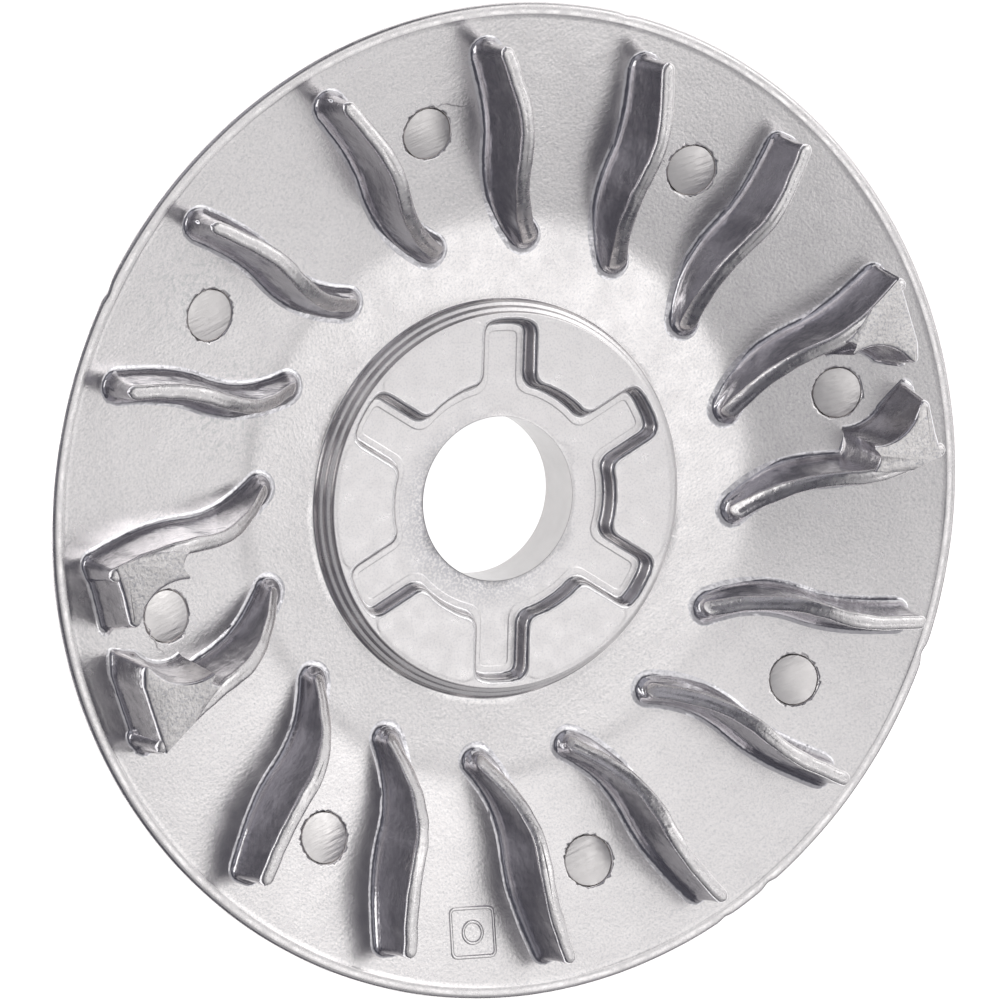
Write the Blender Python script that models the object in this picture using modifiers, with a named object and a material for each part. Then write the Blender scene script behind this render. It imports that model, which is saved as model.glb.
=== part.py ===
"""Fan-side half pulley of a scooter belt drive: a die-cast disc with curved fan blades.

The part lies on the back face of its hub, fan side up. Z is its axis and the origin is
the centre of the hub's back face. One star arm points along +Y. Angles are bearings,
measured clockwise from +Y as seen from above. All lengths are in metres.
"""
import math

import bmesh
import bpy
from mathutils import Matrix, Vector
from mathutils.geometry import interpolate_bezier

MM = 0.001
GAP = 0.3 * MM

# Disc
OUTER_RADIUS = 56.7 * MM
BORE_RADIUS = 9.35 * MM
HUB_RADIUS = 22.4 * MM
HUB_BACK_RADIUS = 18.9 * MM
HUB_LENGTH = 7.3 * MM
ANNULUS_DROP = 0.3 * MM
ANNULUS_RADIUS = 31.7 * MM
ANNULUS_SLOPE = 0.075
FAN_SLOPE = 0.21
BELT_FACE_DEGREES = 14.0
BORE_CHAMFER = 0.5 * MM

# Rim
RIM_WIDTH = 1.5 * MM
RIM_STEP = 0.1 * MM
RIM_FRONT_ROUND = 1.3 * MM
RIM_BACK_ROUND = 0.5 * MM

# Star pocket and the raised lands between its arms
STAR_ARMS = 6
POCKET_DEPTH = 2.1 * MM
POCKET_DRAFT = 1.2 * MM
ARM_HALF_WIDTH = 2.4 * MM
ARM_REACH = 19.8 * MM
VALLEY_RADIUS = 13.0 * MM
LAND_CORNER = 0.9 * MM
LAND_OUTER_CORNER = 1.6 * MM
BRIDGE_DROP = 0.15 * MM
HUB_EDGE_ROUND = 0.4 * MM
# The floor is flat inside the valleys, where a washer seats, and falls slightly outside them.
SEAT_RELIEF = 0.02 * MM

# Fan blades: the centreline is two Bezier curves. Each knot and handle is a share of the
# way from the inner to the outer blade radius, and a bearing in degrees.
BLADE_COUNT = 16
BLADE_RIM_MARGIN = 3.7 * MM
BLADE_HUB_MARGIN = 7.0 * MM
BLADE_OUTER_CURVE = ((1.0, 15.8), (0.82, 17.2), (0.66, 19.1), (0.47, 19.0))
BLADE_INNER_CURVE = ((0.47, 19.0), (0.27, 18.9), (0.14, 21.4), (0.0, 27.4))
BLADE_RISE = 11.0 * MM
BLADE_RAMP_DROP = 9.3 * MM
BLADE_PLATEAU_SHARE = 0.66
BLADE_BASE_WIDTH = 2.7 * MM
BLADE_CREST_WIDTH = 1.4 * MM
BLADE_CREST_CHAMFER = 0.25 * MM
BLADE_TIP_LEAN = 0.9 * MM
BLADE_STATIONS = 10

# Ejector pads between every other pair of blades
PAD_RADIUS = 3.0 * MM
PAD_CIRCLE_SHARE = 0.763
PAD_BEARINGS = (30.3, 74.6, 120.3, 164.6, 210.3, 254.6, 300.3, 344.6)
PAD_DEPTH = 1.2 * MM

# Holding lugs: two facing blocks around one ejector pad, and the same again half a turn on.
# Each corner of an outer edge is a share of the corner drop, and a bearing. A notch runs
# from one bearing to another, as seen from its own centre.
LEADING_BLADE = 3
LUG_PAD_BEARING = 74.3
LUG_NOTCH_OFFSET = 1.0 * MM
LUG_NOTCH_RADIUS = 5.7 * MM
LUG_DRAFT = 0.8 * MM
LUG_CORNER = 0.7 * MM
LUG_CORNER_DROP = 2.0 * MM
LUG_OUTER_MARGIN = 1.5 * MM
LUG_TOP_DROP = 0.05 * MM
LUG_STATIONS = 7
LEADING_LUG_REACH = 0.9 * MM
LEADING_LUG_EDGE = ((0.35, 70.0), (0.75, 72.2))
LEADING_NOTCH = (46.0, -34.0)
TRAILING_LUG_REACH = 0.7 * MM
TRAILING_LUG_EDGE = ((0.9, 76.4), (0.5, 77.4), (0.35, 81.4))
TRAILING_NOTCH = (181.0, 118.0)

# Foundry mark: a framed square with a plain ring
MARK_BEARING = 184.2
MARK_CIRCLE_SHARE = 0.866
MARK_SIZE = 5.8 * MM
MARK_CORNER = 0.8 * MM
MARK_LINE = 0.4 * MM
MARK_RELIEF = 0.2 * MM
MARK_DEPTH = 1.0 * MM
MARK_STEP = 0.1 * MM
MARK_RING_RADIUS = 1.3 * MM

RING_STEPS = 96
HUB_STEPS = 72
ARC_STEPS = 4

LAND_TOP = HUB_LENGTH + POCKET_DEPTH
BRIDGE_TOP = LAND_TOP - BRIDGE_DROP
BLADE_TOP = HUB_LENGTH + BLADE_RISE
BLADE_OUTER_RADIUS = OUTER_RADIUS - BLADE_RIM_MARGIN
BLADE_INNER_RADIUS = HUB_RADIUS + BLADE_HUB_MARGIN
PAD_CIRCLE = PAD_CIRCLE_SHARE * OUTER_RADIUS
MARK_CIRCLE = MARK_CIRCLE_SHARE * OUTER_RADIUS
RIM_INNER_RADIUS = OUTER_RADIUS - RIM_WIDTH
BELT_SLOPE = math.tan(math.radians(BELT_FACE_DEGREES))

ALUMINIUM = (0.78, 0.78, 0.79, 1.0)


def belt_height(radius):
    """Height of the conical face that the belt runs on."""
    return max(0.0, radius - HUB_BACK_RADIUS) * BELT_SLOPE


def fan_height(radius):
    """Height of the bare web on the fan side."""
    annulus_foot = HUB_LENGTH - ANNULUS_DROP
    if radius < ANNULUS_RADIUS:
        return annulus_foot + ANNULUS_SLOPE * (radius - HUB_RADIUS)
    annulus_edge = annulus_foot + ANNULUS_SLOPE * (ANNULUS_RADIUS - HUB_RADIUS)
    return annulus_edge + FAN_SLOPE * (radius - ANNULUS_RADIUS)


def at_bearing(radius, degrees):
    angle = math.radians(degrees)
    return Vector((radius * math.sin(angle), radius * math.cos(angle)))


def start_scene():
    for thing in list(bpy.data.objects):
        bpy.data.objects.remove(thing)
    parts = bpy.data.collections.new("fan_half_pulley")
    cutters = bpy.data.collections.new("cutters")
    bpy.context.scene.collection.children.link(parts)
    bpy.context.scene.collection.children.link(cutters)
    cutters.hide_render = True
    return parts, cutters


PARTS, CUTTERS = start_scene()


def finish_surface(thing, roughness):
    material = bpy.data.materials.new(thing.name)
    material.use_nodes = True
    shader = material.node_tree.nodes["Principled BSDF"]
    shader.inputs["Base Color"].default_value = ALUMINIUM
    shader.inputs["Metallic"].default_value = 1.0
    shader.inputs["Roughness"].default_value = roughness
    material.diffuse_color = ALUMINIUM
    thing.data.materials.clear()
    thing.data.materials.append(material)


def add_object(name, mesh, is_cutter=False):
    thing = bpy.data.objects.new(name, mesh)
    (CUTTERS if is_cutter else PARTS).objects.link(thing)
    if is_cutter:
        thing.hide_render = True
        thing.display_type = "WIRE"
    return thing


def revolve(name, profile, steps, is_cutter=False):
    """A ring from a closed (radius, height) profile that runs down its outer side."""
    mesh = bpy.data.meshes.new(name)
    points = [(radius, 0.0, height) for radius, height in profile]
    edges = [(i, (i + 1) % len(points)) for i in range(len(points))]
    mesh.from_pydata(points, edges, [])
    thing = add_object(name, mesh, is_cutter)
    screw = thing.modifiers.new("turn", "SCREW")
    screw.axis = "Z"
    screw.steps = steps
    screw.render_steps = steps
    screw.use_smooth_shade = True
    screw.use_merge_vertices = True
    screw.merge_threshold = 0.00001
    return thing


def extrude(name, outlines, low, high, is_cutter=False):
    """A plate from closed 2D outlines; an outline inside another one is a hole."""
    curve = bpy.data.curves.new(name + "_outline", "CURVE")
    curve.dimensions = "2D"
    curve.fill_mode = "BOTH"
    curve.extrude = (high - low) / 2
    for outline in outlines:
        spline = curve.splines.new("POLY")
        spline.points.add(len(outline) - 1)
        for point, place in zip(spline.points, outline):
            point.co = (place[0], place[1], 0.0, 1.0)
        spline.use_cyclic_u = True
    sketch = bpy.data.objects.new(name + "_sketch", curve)
    mesh = bpy.data.meshes.new_from_object(sketch)
    bpy.data.objects.remove(sketch)
    mesh.transform(Matrix.Translation((0.0, 0.0, (low + high) / 2)))
    weld(mesh)
    return add_object(name, mesh, is_cutter)


def weld(mesh):
    work = bmesh.new()
    work.from_mesh(mesh)
    bmesh.ops.remove_doubles(work, verts=work.verts, dist=0.00001)
    bmesh.ops.recalc_face_normals(work, faces=work.faces)
    work.to_mesh(mesh)
    work.free()


def cut(thing, tool, operation="DIFFERENCE"):
    boolean = thing.modifiers.new(tool.name, "BOOLEAN")
    boolean.object = tool
    boolean.operation = operation
    boolean.solver = "EXACT"


def arc(centre, radius, start, end, steps):
    """Points on an arc in the plane, from one bearing to another."""
    centre = Vector(centre)
    bearings = [start + (end - start) * i / steps for i in range(steps + 1)]
    return [centre + at_bearing(radius, bearing) for bearing in bearings]


def rounded(corners, radii, steps=ARC_STEPS):
    """A closed outline with each corner rounded by its own radius."""
    outline = []
    for i, corner in enumerate(corners):
        corner = Vector(corner)
        if radii[i] <= 0.0:
            outline.append(corner)
            continue
        before = Vector(corners[i - 1]) - corner
        after = Vector(corners[(i + 1) % len(corners)]) - corner
        reach = radii[i] / math.tan(before.angle(after) / 2)
        reach = min(reach, 0.9 * before.length, 0.9 * after.length)
        start = corner + before.normalized() * reach
        end = corner + after.normalized() * reach
        for k in range(steps + 1):
            share = k / steps
            outline.append(
                start * (1 - share) ** 2
                + corner * 2 * share * (1 - share)
                + end * share**2
            )
    return outline


def joined(name, base, top):
    """A block between two rings of points, base below top.

    An extruded curve has upright walls, so a block with leaning walls is joined here.
    """
    count = len(base)
    faces = [list(range(count)), list(range(2 * count - 1, count - 1, -1))]
    for i in range(count):
        j = (i + 1) % count
        faces.append([i, i + count, j + count, j])
    mesh = bpy.data.meshes.new(name)
    mesh.from_pydata(base + top, [], faces)
    weld(mesh)
    return add_object(name, mesh)


def tilt_to_web(radius, degrees, height):
    """Places a shape on the sloping web with its own Z along the web's normal."""
    place = at_bearing(radius, degrees)
    outward = place.normalized()
    normal = Vector((-FAN_SLOPE * outward.x, -FAN_SLOPE * outward.y, 1.0))
    turn = Vector((0.0, 0.0, 1.0)).rotation_difference(normal)
    return Matrix.Translation((place.x, place.y, height)) @ turn.to_matrix().to_4x4()


def cylinder(name, radius, low, high, matrix, is_cutter=False):
    mesh = bpy.data.meshes.new(name)
    work = bmesh.new()
    bmesh.ops.create_cone(
        work,
        cap_ends=True,
        segments=32,
        radius1=radius,
        radius2=radius,
        depth=high - low,
        matrix=matrix @ Matrix.Translation((0.0, 0.0, (low + high) / 2)),
    )
    work.to_mesh(mesh)
    work.free()
    thing = add_object(name, mesh, is_cutter)
    mesh.shade_smooth()
    mesh.set_sharp_from_angle(angle=math.radians(40))
    return thing


def make_web_disc():
    inner = HUB_RADIUS + GAP
    outer = RIM_INNER_RADIUS - GAP
    profile = [
        (inner, fan_height(inner)),
        (ANNULUS_RADIUS, fan_height(ANNULUS_RADIUS)),
        (outer, fan_height(outer)),
        (outer, belt_height(outer)),
        (inner, belt_height(inner)),
    ]
    web = revolve("web_disc", profile, RING_STEPS)
    finish_surface(web, 0.35)
    for number, bearing in enumerate(PAD_BEARINGS, 1):
        place = tilt_to_web(PAD_CIRCLE, bearing, fan_height(PAD_CIRCLE))
        pocket = cylinder(
            f"pad_pocket_{number}", PAD_RADIUS, -PAD_DEPTH, 2 * PAD_DEPTH, place, True
        )
        cut(web, pocket)
    place = tilt_to_web(MARK_CIRCLE, MARK_BEARING, fan_height(MARK_CIRCLE))
    outline = square_outline(MARK_SIZE / 2 + GAP, MARK_CORNER)
    pocket = extrude("mark_pocket", [outline], -MARK_DEPTH, MARK_DEPTH, True)
    pocket.data.transform(place)
    cut(web, pocket)


def make_rim_edge():
    inner = RIM_INNER_RADIUS
    front = fan_height(inner) + RIM_STEP
    back = belt_height(OUTER_RADIUS - RIM_BACK_ROUND)
    profile = [(inner, front)]
    for step in range(ARC_STEPS + 1):
        angle = math.pi / 2 * step / ARC_STEPS
        centre_radius = OUTER_RADIUS - RIM_FRONT_ROUND
        centre_height = front - RIM_FRONT_ROUND
        profile.append(
            (
                centre_radius + RIM_FRONT_ROUND * math.sin(angle),
                centre_height + RIM_FRONT_ROUND * math.cos(angle),
            )
        )
    profile.append((OUTER_RADIUS, back + RIM_BACK_ROUND))
    profile.append((OUTER_RADIUS - RIM_BACK_ROUND, back))
    profile.append((inner, belt_height(inner)))
    finish_surface(revolve("rim_edge", profile, RING_STEPS), 0.3)


def make_hub():
    floor = HUB_LENGTH
    chamfer = BORE_CHAMFER
    boss_profile = [
        (BORE_RADIUS, floor),
        (VALLEY_RADIUS - GAP, floor),
        (HUB_RADIUS, floor - SEAT_RELIEF),
        (HUB_RADIUS, belt_height(HUB_RADIUS)),
        (HUB_BACK_RADIUS, 0.0),
        (BORE_RADIUS + chamfer, 0.0),
        (BORE_RADIUS, chamfer),
    ]
    finish_surface(revolve("hub_boss", boss_profile, HUB_STEPS), 0.25)

    inner_top = ARM_REACH + POCKET_DRAFT
    ring_profile = [
        (inner_top, BRIDGE_TOP),
        (HUB_RADIUS - HUB_EDGE_ROUND, BRIDGE_TOP),
        (HUB_RADIUS, BRIDGE_TOP - HUB_EDGE_ROUND),
        (HUB_RADIUS, floor + GAP),
        (inner_top, floor + GAP),
    ]
    finish_surface(revolve("hub_ring", ring_profile, HUB_STEPS), 0.35)


def land_outline(draft):
    """Outline of the land to the right of the arm that points along +Y.

    The wall beside the hub ring stays upright, so its radius has no draft.
    """
    half_width = ARM_HALF_WIDTH + draft
    valley = VALLEY_RADIUS + draft
    outer = ARM_REACH + POCKET_DRAFT - GAP
    pitch = 360.0 / STAR_ARMS
    inner_turn = math.degrees(math.asin(half_width / valley))
    outer_turn = math.degrees(math.asin(half_width / outer))
    steps = ARC_STEPS + 1
    outer_arc = arc((0, 0), outer, outer_turn, pitch - outer_turn, steps)
    inner_arc = arc((0, 0), valley, pitch - inner_turn, inner_turn, steps)
    corners = outer_arc + inner_arc
    radii = [0.0] * len(corners)
    radii[0] = radii[steps] = LAND_OUTER_CORNER
    radii[steps + 1] = radii[-1] = LAND_CORNER + (POCKET_DRAFT - draft) / 2
    return rounded(corners, radii)


def make_lands():
    base = [(p.x, p.y, HUB_LENGTH + GAP) for p in land_outline(0.0)]
    top = [(p.x, p.y, LAND_TOP) for p in land_outline(POCKET_DRAFT)]
    first = joined("star_land_1", base, top)
    finish_surface(first, 0.3)
    for number in range(2, STAR_ARMS + 1):
        land = add_object(f"star_land_{number}", first.data.copy())
        land.rotation_euler.z = -math.radians(360.0 / STAR_ARMS * (number - 1))
        finish_surface(land, 0.3)


def blade_curve(steps):
    """Points down the blade's centreline, from its outer end to its inner end."""
    span = BLADE_OUTER_RADIUS - BLADE_INNER_RADIUS
    line = []
    for curve in (BLADE_OUTER_CURVE, BLADE_INNER_CURVE):
        knots = [
            at_bearing(BLADE_INNER_RADIUS + share * span, bearing)
            for share, bearing in curve
        ]
        points = interpolate_bezier(*knots, steps)
        line += points[1:] if line else points
    return line


def crest_height(radius):
    """Crest of a blade: level over its outer part, and ramped down towards the hub."""
    span = BLADE_OUTER_RADIUS - BLADE_INNER_RADIUS
    share = (radius - BLADE_INNER_RADIUS) / span
    ramp = max(0.0, 1.0 - share / BLADE_PLATEAU_SHARE)
    return BLADE_TOP - BLADE_RAMP_DROP * ramp**2


def blade_section(point, across, along, narrowing, lean):
    """Six corners round one station of a blade, from base to crest and down again."""
    top = crest_height(point.length)
    radius = point.length
    base_half = BLADE_BASE_WIDTH / 2 * narrowing
    crest_half = BLADE_CREST_WIDTH / 2 * narrowing
    flat_half = max(0.1 * MM, crest_half - BLADE_CREST_CHAMFER)
    crest_point = point + along * lean
    foot = fan_height(radius) + GAP
    corners = []
    for side, half, height, middle in (
        (1, base_half, foot, point),
        (1, crest_half, top - BLADE_CREST_CHAMFER, crest_point),
        (1, flat_half, top, crest_point),
        (-1, flat_half, top, crest_point),
        (-1, crest_half, top - BLADE_CREST_CHAMFER, crest_point),
        (-1, base_half, foot, point),
    ):
        place = middle + across * side * half
        if height == foot:
            height = fan_height(place.length) + GAP
        corners.append((place.x, place.y, height))
    return corners


def blade_mesh():
    """A blade has a drafted section that changes height along an S-curve.

    No modifier makes that shape, so its sections are joined here.
    """
    line = blade_curve(BLADE_STATIONS)
    last = len(line) - 1
    points = []
    for i, point in enumerate(line):
        along = (line[min(last, i + 1)] - line[max(0, i - 1)]).normalized()
        across = Vector((-along.y, along.x))
        narrowing = 1.0
        if i >= last - 1:
            narrowing = (0.92, 0.6)[i - last + 1]
        lean = BLADE_TIP_LEAN if i == 0 else 0.0
        points += blade_section(point, across, along, narrowing, lean)
    faces = [list(range(6))]
    for i in range(last):
        for k in range(6):
            a = 6 * i + k
            b = 6 * i + (k + 1) % 6
            faces.append([a, a + 6, b + 6, b])
    faces.append([6 * last + k for k in range(5, -1, -1)])
    mesh = bpy.data.meshes.new("fan_blade")
    mesh.from_pydata(points, [], faces)
    weld(mesh)
    return mesh


def make_blades():
    shape = blade_mesh()
    for number in range(1, BLADE_COUNT + 1):
        blade = add_object(f"fan_blade_{number:02d}", shape.copy())
        blade.rotation_euler.z = -math.radians(360.0 / BLADE_COUNT * (number - 1))
        finish_surface(blade, 0.35)


def make_pads():
    for number, bearing in enumerate(PAD_BEARINGS, 1):
        place = tilt_to_web(PAD_CIRCLE, bearing, fan_height(PAD_CIRCLE))
        pad = cylinder(
            f"ejector_pad_{number}", PAD_RADIUS - GAP, GAP - PAD_DEPTH, 0.0, place
        )
        finish_surface(pad, 0.4)


def turned(points, degrees):
    """The points turned clockwise about the axis."""
    spin = Matrix.Rotation(-math.radians(degrees), 2)
    return [spin @ point for point in points]


def beside_blade(blade_number, side, clear, low_radius, high_radius):
    """Points beside a blade, a clear distance off its centreline, outer end first."""
    line = blade_curve(4 * BLADE_STATIONS)
    wall = []
    for i in range(1, len(line) - 1):
        along = (line[i + 1] - line[i - 1]).normalized()
        across = Vector((-along.y, along.x))
        wall.append(line[i] + across * side * clear)
    edge = []
    for step in range(LUG_STATIONS + 1):
        radius = high_radius + (low_radius - high_radius) * step / LUG_STATIONS
        after = next(i for i in range(1, len(wall)) if wall[i].length < radius)
        start, end = wall[after - 1], wall[after]
        share = (start.length - radius) / (start.length - end.length)
        edge.append(start.lerp(end, share))
    return turned(edge, 360.0 / BLADE_COUNT * (blade_number - 1))


def leading_lug_outline(blade_half, draft):
    """The lug on the clockwise side of blade 3, above the ejector pad."""
    outer = BLADE_OUTER_RADIUS - LUG_OUTER_MARGIN + draft
    inner = PAD_CIRCLE - LEADING_LUG_REACH - draft
    blade_side = beside_blade(LEADING_BLADE, 1, blade_half + GAP, inner, outer)
    blade_side.reverse()
    lean = math.degrees(draft / outer)
    outer_edge = [
        at_bearing(outer - share * LUG_CORNER_DROP, bearing + lean)
        for share, bearing in LEADING_LUG_EDGE
    ]
    notch_centre = at_bearing(PAD_CIRCLE + LUG_NOTCH_OFFSET, LUG_PAD_BEARING)
    notch = arc(notch_centre, LUG_NOTCH_RADIUS - draft, *LEADING_NOTCH, 2 * ARC_STEPS)
    corners = blade_side + outer_edge + notch
    radii = [0.0] * len(corners)
    radii[len(blade_side + outer_edge) - 1] = LUG_CORNER
    return rounded(corners, radii)


def trailing_lug_outline(blade_half, draft):
    """The lug on the anticlockwise side of blade 4, below the ejector pad."""
    outer = BLADE_OUTER_RADIUS - LUG_OUTER_MARGIN + draft
    inner = PAD_CIRCLE - TRAILING_LUG_REACH - draft
    blade_side = beside_blade(LEADING_BLADE + 1, -1, blade_half + GAP, inner, outer)
    lean = math.degrees(draft / outer)
    outer_edge = [
        at_bearing(outer - share * LUG_CORNER_DROP, bearing - lean)
        for share, bearing in TRAILING_LUG_EDGE
    ]
    notch_centre = at_bearing(PAD_CIRCLE + LUG_NOTCH_OFFSET, LUG_PAD_BEARING)
    notch = arc(notch_centre, LUG_NOTCH_RADIUS - draft, *TRAILING_NOTCH, 2 * ARC_STEPS)
    corners = blade_side + notch + outer_edge
    radii = [0.0] * len(corners)
    radii[len(blade_side + notch)] = LUG_CORNER
    return rounded(corners, radii)


def make_lugs():
    number = 0
    for half_turn in (0.0, 180.0):
        for outline in (leading_lug_outline, trailing_lug_outline):
            number += 1
            foot = turned(outline(BLADE_BASE_WIDTH / 2, LUG_DRAFT), half_turn)
            head = turned(outline(BLADE_CREST_WIDTH / 2, 0.0), half_turn)
            base = [(p.x, p.y, fan_height(p.length) + GAP) for p in foot]
            top = [(p.x, p.y, BLADE_TOP - LUG_TOP_DROP) for p in head]
            finish_surface(joined(f"holding_lug_{number}", base, top), 0.45)


def square_outline(half, corner):
    corners = [(-half, half), (half, half), (half, -half), (-half, -half)]
    return rounded(corners, [corner] * 4)


def make_foundry_mark():
    """A framed plate with a plain ring, let into the web."""
    half = MARK_SIZE / 2
    place = tilt_to_web(MARK_CIRCLE, MARK_BEARING, fan_height(MARK_CIRCLE))
    plate = extrude(
        "foundry_mark", [square_outline(half, MARK_CORNER)], GAP - MARK_DEPTH, MARK_STEP
    )
    inside = square_outline(half - MARK_LINE, MARK_CORNER - MARK_LINE / 2)
    ring_outer = arc((0, 0), MARK_RING_RADIUS, 0, 345, 23)
    ring_inner = arc((0, 0), MARK_RING_RADIUS - MARK_LINE, 0, 345, 23)
    floor = extrude(
        "mark_floor",
        [inside, ring_outer, ring_inner],
        MARK_STEP - MARK_RELIEF,
        MARK_DEPTH,
        True,
    )
    plate.data.transform(place)
    floor.data.transform(place)
    cut(plate, floor)
    finish_surface(plate, 0.4)


make_web_disc()
make_rim_edge()
make_hub()
make_lands()
make_blades()
make_pads()
make_lugs()
make_foundry_mark()
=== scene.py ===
"""Looks of the fan half pulley: a die-cast aluminium disc with sixteen curved blades.

Bearings are measured clockwise from +Y as seen from above, in degrees. Lengths are in
metres. A ring is an array of points round a closed loop; surfaces are lofted from rings.
"""
import math

import bmesh
import bpy
import numpy as np
from mathutils import Matrix, Vector, noise


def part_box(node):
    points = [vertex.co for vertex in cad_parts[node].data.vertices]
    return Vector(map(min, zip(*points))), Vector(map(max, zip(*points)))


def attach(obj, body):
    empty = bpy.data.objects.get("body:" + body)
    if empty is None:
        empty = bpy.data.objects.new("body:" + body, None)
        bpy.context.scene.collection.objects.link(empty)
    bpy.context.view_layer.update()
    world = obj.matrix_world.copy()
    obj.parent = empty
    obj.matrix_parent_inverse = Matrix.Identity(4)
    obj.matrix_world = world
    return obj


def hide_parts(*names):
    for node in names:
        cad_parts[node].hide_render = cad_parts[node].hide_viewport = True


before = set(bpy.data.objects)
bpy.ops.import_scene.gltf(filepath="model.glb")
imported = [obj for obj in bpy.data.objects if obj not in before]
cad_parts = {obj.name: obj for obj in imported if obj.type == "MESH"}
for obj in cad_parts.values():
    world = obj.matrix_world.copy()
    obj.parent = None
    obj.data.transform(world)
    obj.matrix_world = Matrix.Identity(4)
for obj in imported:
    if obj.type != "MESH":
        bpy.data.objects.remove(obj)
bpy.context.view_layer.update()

MM = 0.001

# Sizes that the frame gives
OUTER_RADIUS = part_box("rim_edge")[1].x
RIM_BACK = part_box("rim_edge")[0].z
HUB_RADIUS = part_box("hub_ring")[1].x
FLOOR_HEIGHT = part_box("hub_boss")[1].z
LAND_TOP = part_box("star_land_1")[1].z
BLADE_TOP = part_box("fan_blade_01")[1].z
PAD_NODES = [f"ejector_pad_{number}" for number in range(1, 9)]

# Sizes shared with the CAD model
BORE_RADIUS = 9.35 * MM
HUB_BACK_RADIUS = 18.9 * MM
BELT_SLOPE = math.tan(math.radians(14.0))
ANNULUS_RADIUS = 31.7 * MM
ANNULUS_SLOPE = 0.075
FAN_SLOPE = 0.21
ARM_HALF_WIDTH = 2.4 * MM
ARM_REACH = 19.8 * MM
VALLEY_RADIUS = 13.0 * MM
POCKET_DRAFT = 1.2 * MM
RIM_RADIUS = OUTER_RADIUS - 1.5 * MM
BLADE_COUNT = 16
BLADE_OUTER_RADIUS = OUTER_RADIUS - 3.7 * MM
BLADE_INNER_RADIUS = HUB_RADIUS + 7.0 * MM
BLADE_OUTER_CURVE = ((1.0, 15.8), (0.82, 17.2), (0.66, 19.1), (0.47, 19.0))
BLADE_INNER_CURVE = ((0.47, 19.0), (0.27, 18.9), (0.14, 21.4), (0.0, 27.4))
BLADE_RAMP_DROP = 9.3 * MM
BLADE_PLATEAU_SHARE = 0.66
PAD_CIRCLE = 0.763 * OUTER_RADIUS
PAD_RADIUS = 3.0 * MM

# Sizes that only the looks have
STRIP_DROP = 0.035 * MM
WALL_TURN = math.radians(72.0)
WALL_DROP = 0.69
HUB_TOP_OUTER = 21.2 * MM
HUB_FOOT_OUTWARD = 0.55
WEB_START = HUB_RADIUS + 0.6 * MM
RIM_STEP = 0.06 * MM
SUNK_FOOT = 0.004 * MM
BLADE_FILLET = 0.95 * MM
BLADE_EDGE = 0.6 * MM
BLADE_BASE_HALF = 1.33 * MM
BLADE_CREST_HALF = 0.85 * MM
BLADE_CREST_DROP = 0.08 * MM
CREST_WIDTHS = (0.99, 0.97, 0.93, 0.87, 0.79, 0.66, 0.5, 0.3, 0.1)
CREST_POWER = 3.2
ROUND_ENDED = (1, 13, 14, 15, 16)
SIDE_POINTS = 54
LUG_PAD_BEARING = 74.3
LUG_NOTCH_RADIUS = 5.7 * MM
LUG_DRAFT = 0.8 * MM
LUG_MERGE = 4.5 * MM
LUG_OUTER = BLADE_OUTER_RADIUS - 1.3 * MM
PAD_GAP = 0.13 * MM
MARK_RADIUS = 0.866 * OUTER_RADIUS
MARK_BEARING = 184.2
SOFTBOX_DISTANCE = 0.8
CAMERA_LENS = 249.2
CAMERA_TILT = 27.0
CAMERA_TILT_AXIS = 73.8
CAMERA_OFFSET = (-0.213 * MM, 0.140 * MM, -784.0 * MM)

# The hub's wall goes down in three short flights with two narrow terraces between them.
# Each pair is outward from the hub's radius and down from the hub's top, in mm.
HUB_WALL = (
    (-1.06, 0.00),
    (-1.00, 0.02),
    (-0.96, 0.10),
    (-0.93, 0.55),
    (-0.88, 0.66),
    (-0.78, 0.70),
    (-0.50, 0.72),
    (-0.42, 0.76),
    (-0.38, 0.85),
    (-0.35, 1.30),
    (-0.30, 1.42),
    (-0.20, 1.46),
    (0.05, 1.48),
    (0.13, 1.52),
    (0.17, 1.61),
    (0.20, 1.90),
)

# Bearing, width in mm and depth in mm of each dent in the rim
RIM_NICKS = (
    (109.7, 0.9, 0.35),
    (143.3, 0.7, 0.3),
    (150.0, 0.6, 0.2),
    (12.0, 0.7, 0.15),
    (296.0, 0.8, 0.2),
)

# Tints of the aluminium, of what is on it, and of painted shade
BRIGHT = (0.92, 0.892, 0.88)
# Grey of the fine grain, also used as painted shade round the bore on the hub
GRAIN_AND_SHADE_TINT = (0.5, 0.5, 0.53)
HAZE_TINT = (0.80, 0.79, 0.78)
BURN_TINT = (0.46, 0.42, 0.39)
WHITE = (1.0, 1.0, 1.0)
COOL = (0.92, 0.92, 1.0)

# Name, azimuth, elevation, degrees wide, degrees high, radiance and colour of each panel
PANELS = (
    ("dome", 112.0, 60.0, 96.0, 84.0, 0.3, WHITE),
    ("key", 121.0, 60.0, 14.0, 16.0, 0.7, WHITE),
    ("key_above", 113.0, 70.0, 14.0, 14.0, 0.5, WHITE),
    ("key_centre", 106.0, 62.0, 10.0, 12.0, 0.5, WHITE),
    ("side_high", 61.0, 60.0, 22.0, 22.0, 0.6, WHITE),
    ("side_middle", 75.0, 47.0, 24.0, 20.0, 0.8, WHITE),
    ("side_back", 50.0, 45.0, 30.0, 24.0, 0.7, WHITE),
    ("side_low", 50.0, 15.0, 110.0, 32.0, 0.7, WHITE),
    ("right", 100.0, 39.0, 20.0, 14.0, 0.6, WHITE),
    ("right_low", 120.0, 41.0, 20.0, 14.0, 0.5, WHITE),
    ("top", 45.0, 79.0, 22.0, 22.0, 0.5, WHITE),
    ("rake", 280.0, 11.0, 50.0, 22.0, 1.6, WHITE),
    ("fill_left", 246.0, 18.0, 56.0, 30.0, 0.15, COOL),
    ("fill_camera", 281.0, 48.0, 30.0, 22.0, 0.2, COOL),
    ("fill_back", 332.0, 30.0, 46.0, 44.0, 0.3, COOL),
)

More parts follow.
